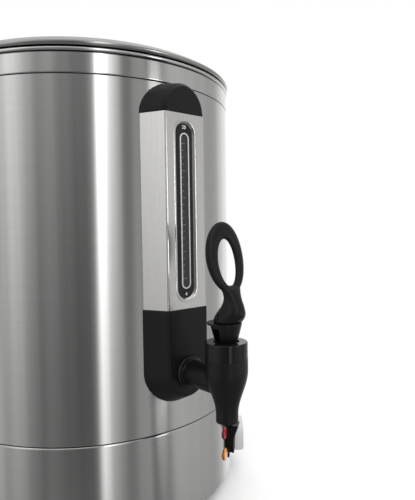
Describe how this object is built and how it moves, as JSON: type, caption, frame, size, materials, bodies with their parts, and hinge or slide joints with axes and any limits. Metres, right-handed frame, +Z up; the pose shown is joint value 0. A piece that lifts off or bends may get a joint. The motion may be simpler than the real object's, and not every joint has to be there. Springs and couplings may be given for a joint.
{
  "type": "hot water urn",
  "caption": "Stainless drum urn with inner tank, immersed heater, sight-glass column, self-closing loop-lever tap, lift-off lid, side handles and skirt controls.",
  "frame": {"origin": "on the drum axis in the plane under the feet", "axes": "Z up, the tap faces -Y, +X is to the right of a viewer facing the tap"},
  "size_m": [0.3872, 0.4037, 0.4803],
  "materials": {
    "drum_steel": "brushed round the drum",
    "collar_steel": "brushed round the rim",
    "tank_steel": "bright",
    "lid_steel": "satin",
    "plate_steel": "plain sheet",
    "column_steel": "satin polished",
    "fastener_steel": "plain",
    "element_steel": "heat tinted",
    "brass_parts": "turned",
    "copper_tube": "drawn copper",
    "black_plastic": "fine satin",
    "tap_black": "semi gloss",
    "inner_plastic": "plain",
    "scale_black": "smooth",
    "trim_grey": "smooth",
    "window_glass": "smoked",
    "tube_glass": "clear",
    "knob_silver": "silver coated",
    "red_plastic": "translucent",
    "amber_plastic": "translucent",
    "pale_plastic": "plain",
    "seal_rubber": "silicone",
    "foot_rubber": "plain"
  },
  "bodies": {
    "urn": {"body_shell": "drum_steel", "rim_collar": "collar_steel", "inner_tank": "tank_steel", "base_skirt": "drum_steel", "base_plate": "plate_steel", "feet": "foot_rubber", "foot_screws": "fastener_steel", "foot_nuts": "fastener_steel", "base_screws": "fastener_steel", "seam_screws": "fastener_steel", "heating_element": "element_steel", "element_bushes": "brass_parts", "element_seals": "seal_rubber", "element_nuts": "brass_parts", "thermostat": "inner_plastic", "thermostat_nut": "brass_parts", "thermostat_bulb": "copper_tube", "bulb_clip": "plate_steel", "thermal_cutout": "inner_plastic", "rocker_housing": "black_plastic", "lamp_holders": "inner_plastic", "red_lens": "red_plastic", "amber_lens": "amber_plastic", "terminal_block": "pale_plastic", "cable_gland": "black_plastic", "gland_nut": "black_plastic", "gauge_column": "column_steel", "gauge_top_cap": "black_plastic", "gauge_bottom_housing": "black_plastic", "gauge_plate": "scale_black", "gauge_trim": "trim_grey", "gauge_window": "window_glass", "sight_tube": "tube_glass", "tube_seals": "seal_rubber", "gauge_tee": "inner_plastic", "vent_elbow": "inner_plastic", "vent_nut": "fastener_steel", "tap_body": "tap_black", "tail_escutcheon": "black_plastic", "tail_washers": "seal_rubber", "wall_spacer": "pale_plastic", "tail_nut": "brass_parts", "tap_bonnet": "tap_black", "tap_saddle": "tap_black", "valve_spring": "fastener_steel", "left_handle": "black_plastic", "right_handle": "black_plastic", "handle_screws": "fastener_steel"},
    "lid": {"lid_shell": "lid_steel", "lid_knob": "black_plastic", "lid_screw": "fastener_steel"},
    "tap_stem": {"valve_stem": "fastener_steel", "valve_seal": "seal_rubber", "lever_pin": "fastener_steel"},
    "tap_lever": {"lever": "tap_black"},
    "knob": {"thermostat_knob": "knob_silver", "thermostat_shaft": "fastener_steel"},
    "switch_rocker": {"rocker": "black_plastic"},
    "reset": {"reset_button": "red_plastic"}
  },
  "joints": [
    {"name": "lid_lift", "type": "slide", "parent": "urn", "child": "lid", "axis": [0, 0, 1], "range_m": [0, 0.16]},
    {"name": "stem_lift", "type": "slide", "parent": "urn", "child": "tap_stem", "axis": [0, 0, 1], "range_m": [0, 0.0056], "deforming": ["valve_spring"]},
    {"name": "lever_tilt", "type": "hinge", "parent": "tap_stem", "child": "tap_lever", "pos_m": [0, -0.2175, 0.2103], "axis": [1, 0, 0], "range_deg": [0, 35], "stiffness_Nm_per_rad": 0.3, "springref_deg": -11.46},
    {"name": "knob_turn", "type": "hinge", "parent": "urn", "child": "knob", "pos_m": [0.12214, -0.09543, 0.041], "axis": [0.788, -0.6157, 0], "range_deg": [-270, 0]},
    {"name": "rocker_tip", "type": "hinge", "parent": "urn", "child": "switch_rocker", "pos_m": [0.0961, -0.11452, 0.0515], "axis": [-0.766, -0.6428, 0], "range_deg": [0, 20]},
    {"name": "reset_press", "type": "slide", "parent": "urn", "child": "reset", "axis": [0, 0, 1], "range_m": [0, 0.0015], "stiffness_N_per_m": 200}
  ],
  "couplings": [
    {"joint": "stem_lift", "follows": "lever_tilt", "m_per_rad": 0.009}
  ]
}
